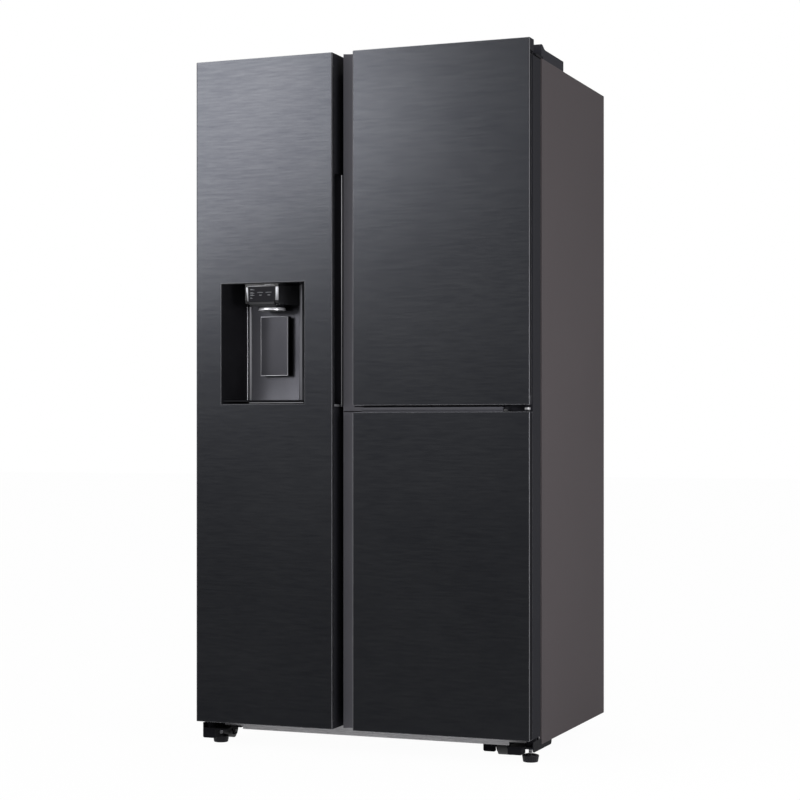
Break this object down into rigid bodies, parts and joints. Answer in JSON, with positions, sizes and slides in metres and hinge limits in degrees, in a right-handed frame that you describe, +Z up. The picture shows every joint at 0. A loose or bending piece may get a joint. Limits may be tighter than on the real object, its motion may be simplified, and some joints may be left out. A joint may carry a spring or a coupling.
{
  "type": "side-by-side refrigerator",
  "caption": "Free-standing side-by-side refrigerator with a dispenser in the freezer door and a door-in-door on the fridge side, with drawers, shelves and adjustable feet.",
  "frame": {"origin": "on the floor, in the middle of the width and of the depth", "axes": "+X to the right seen from the front, +Y to the back, +Z up"},
  "size_m": [0.912, 0.716, 1.801],
  "materials": {
    "side_paint": "satin",
    "galvanised": "satin",
    "dark_steel": "brushed",
    "dark_plastic": "satin",
    "hinge_cover_plastic": "satin",
    "strip_plastic": "satin",
    "foam": "matt",
    "liner_plastic": "gloss",
    "white_plastic": "gloss",
    "black_gloss": "gloss",
    "black_plastic": "satin",
    "shelf_glass": "clear",
    "bin_plastic": "clear",
    "gasket_rubber": "matt",
    "silver_trim": "bright",
    "lamp_cover": "frosted",
    "zinc_steel": "satin",
    "black_steel": "satin",
    "fin_aluminium": "mill",
    "roller_nylon": "matt"
  },
  "bodies": {
    "cabinet": {"side_panel_left": "side_paint", "side_panel_right": "side_paint", "top_panel": "side_paint", "back_panel": "galvanised", "base_plate": "galvanised", "insulation": "foam", "freezer_liner": "liner_plastic", "fridge_liner": "liner_plastic", "centre_rail": "side_paint", "base_cover": "strip_plastic", "hinge_cover_left": "hinge_cover_plastic", "hinge_cover_right": "hinge_cover_plastic", "upper_hinges": "zinc_steel", "lower_hinge_left": "black_steel", "lower_hinge_right": "black_steel", "freezer_shelves": "shelf_glass", "fridge_shelves": "shelf_glass", "compressor": "black_steel", "condenser": "fin_aluminium", "drain_pan": "black_plastic", "machine_cover": "galvanised", "air_ducts": "white_plastic", "ceiling_lamps": "lamp_cover"},
    "condenser_fan": {"condenser_fan": "black_plastic"},
    "freezer_drawer_lower": {"freezer_drawer_lower": "bin_plastic"},
    "freezer_drawer_upper": {"freezer_drawer_upper": "bin_plastic"},
    "fridge_drawer_lower": {"fridge_drawer_lower": "bin_plastic"},
    "fridge_drawer_upper": {"fridge_drawer_upper": "bin_plastic"},
    "foot_left": {"foot_left": "black_plastic"},
    "foot_right": {"foot_right": "black_plastic"},
    "front_roller_left": {"front_roller_left": "roller_nylon"},
    "front_roller_right": {"front_roller_right": "roller_nylon"},
    "rear_roller_left": {"rear_roller_left": "roller_nylon"},
    "rear_roller_right": {"rear_roller_right": "roller_nylon"},
    "freezer_door": {"freezer_door_skin": "dark_steel", "freezer_door_caps": "dark_plastic", "freezer_door_core": "dark_plastic", "freezer_door_liner": "liner_plastic", "freezer_door_gasket": "gasket_rubber", "handle_pocket": "black_plastic", "handle_trim": "silver_trim", "dispenser_housing": "black_gloss", "dispenser_head": "black_plastic", "dispenser_display": "black_gloss", "dispenser_chute": "silver_trim", "drip_tray": "dark_plastic", "freezer_door_bins": "bin_plastic", "ice_maker": "white_plastic"},
    "dispenser_paddle": {"dispenser_paddle": "dark_plastic"},
    "fridge_door": {"fridge_door_core": "dark_plastic", "fridge_door_skin": "dark_steel", "fridge_door_moulding": "dark_plastic", "fridge_door_liner": "liner_plastic", "fridge_door_gasket": "gasket_rubber", "fridge_door_bins": "bin_plastic", "showcase_hinge": "zinc_steel"},
    "showcase_door": {"showcase_door_skin": "dark_steel", "showcase_door_caps": "dark_plastic", "showcase_door_core": "dark_plastic", "showcase_door_gasket": "gasket_rubber"}
  },
  "joints": [
    {"name": "freezer_door_hinge", "type": "hinge", "parent": "cabinet", "child": "freezer_door", "pos_m": [-0.442, -0.295, 0.9], "axis": [0, 0, 1], "range_deg": [-130, 0]},
    {"name": "fridge_door_hinge", "type": "hinge", "parent": "cabinet", "child": "fridge_door", "pos_m": [0.442, -0.295, 0.9], "axis": [0, 0, 1], "range_deg": [0, 130]},
    {"name": "showcase_door_hinge", "type": "hinge", "parent": "fridge_door", "child": "showcase_door", "pos_m": [0.447, -0.347, 1.3], "axis": [0, 0, 1], "range_deg": [0, 105]},
    {"name": "dispenser_paddle_hinge", "type": "hinge", "parent": "freezer_door", "child": "dispenser_paddle", "pos_m": [-0.262, -0.275, 1.126], "axis": [1, 0, 0], "range_deg": [0, 4], "stiffness_Nm_per_rad": 3, "springref_deg": -6.88},
    {"name": "condenser_fan_spin", "type": "hinge", "parent": "cabinet", "child": "condenser_fan", "pos_m": [-0.044, 0.247, 0.1825], "axis": [1, 0, 0], "continuous": true},
    {"name": "foot_left_screw", "type": "slide", "parent": "cabinet", "child": "foot_left", "axis": [0, 0, 1], "range_m": [0, 0.016]},
    {"name": "front_roller_left_spin", "type": "hinge", "parent": "cabinet", "child": "front_roller_left", "pos_m": [-0.4295, -0.215, 0.024], "axis": [1, 0, 0], "continuous": true},
    {"name": "rear_roller_left_spin", "type": "hinge", "parent": "cabinet", "child": "rear_roller_left", "pos_m": [-0.348, 0.288, 0.022], "axis": [1, 0, 0], "continuous": true},
    {"name": "foot_right_screw", "type": "slide", "parent": "cabinet", "child": "foot_right", "axis": [0, 0, 1], "range_m": [0, 0.016]},
    {"name": "front_roller_right_spin", "type": "hinge", "parent": "cabinet", "child": "front_roller_right", "pos_m": [0.3495, -0.215, 0.024], "axis": [1, 0, 0], "continuous": true},
    {"name": "rear_roller_right_spin", "type": "hinge", "parent": "cabinet", "child": "rear_roller_right", "pos_m": [0.348, 0.288, 0.022], "axis": [1, 0, 0], "continuous": true},
    {"name": "freezer_drawer_lower_slide", "type": "slide", "parent": "cabinet", "child": "freezer_drawer_lower", "axis": [0, -1, 0], "range_m": [0, 0.195]},
    {"name": "freezer_drawer_upper_slide", "type": "slide", "parent": "cabinet", "child": "freezer_drawer_upper", "axis": [0, -1, 0], "range_m": [0, 0.25]},
    {"name": "fridge_drawer_lower_slide", "type": "slide", "parent": "cabinet", "child": "fridge_drawer_lower", "axis": [0, -1, 0], "range_m": [0, 0.195]},
    {"name": "fridge_drawer_upper_slide", "type": "slide", "parent": "cabinet", "child": "fridge_drawer_upper", "axis": [0, -1, 0], "range_m": [0, 0.25]}
  ],
  "couplings": [
    {"joint": "freezer_drawer_lower_slide", "follows": "freezer_door_hinge", "m_per_rad": -0.085},
    {"joint": "freezer_drawer_upper_slide", "follows": "freezer_door_hinge", "m_per_rad": -0.11},
    {"joint": "fridge_drawer_lower_slide", "follows": "fridge_door_hinge", "m_per_rad": 0.085},
    {"joint": "fridge_drawer_upper_slide", "follows": "fridge_door_hinge", "m_per_rad": 0.11}
  ]
}
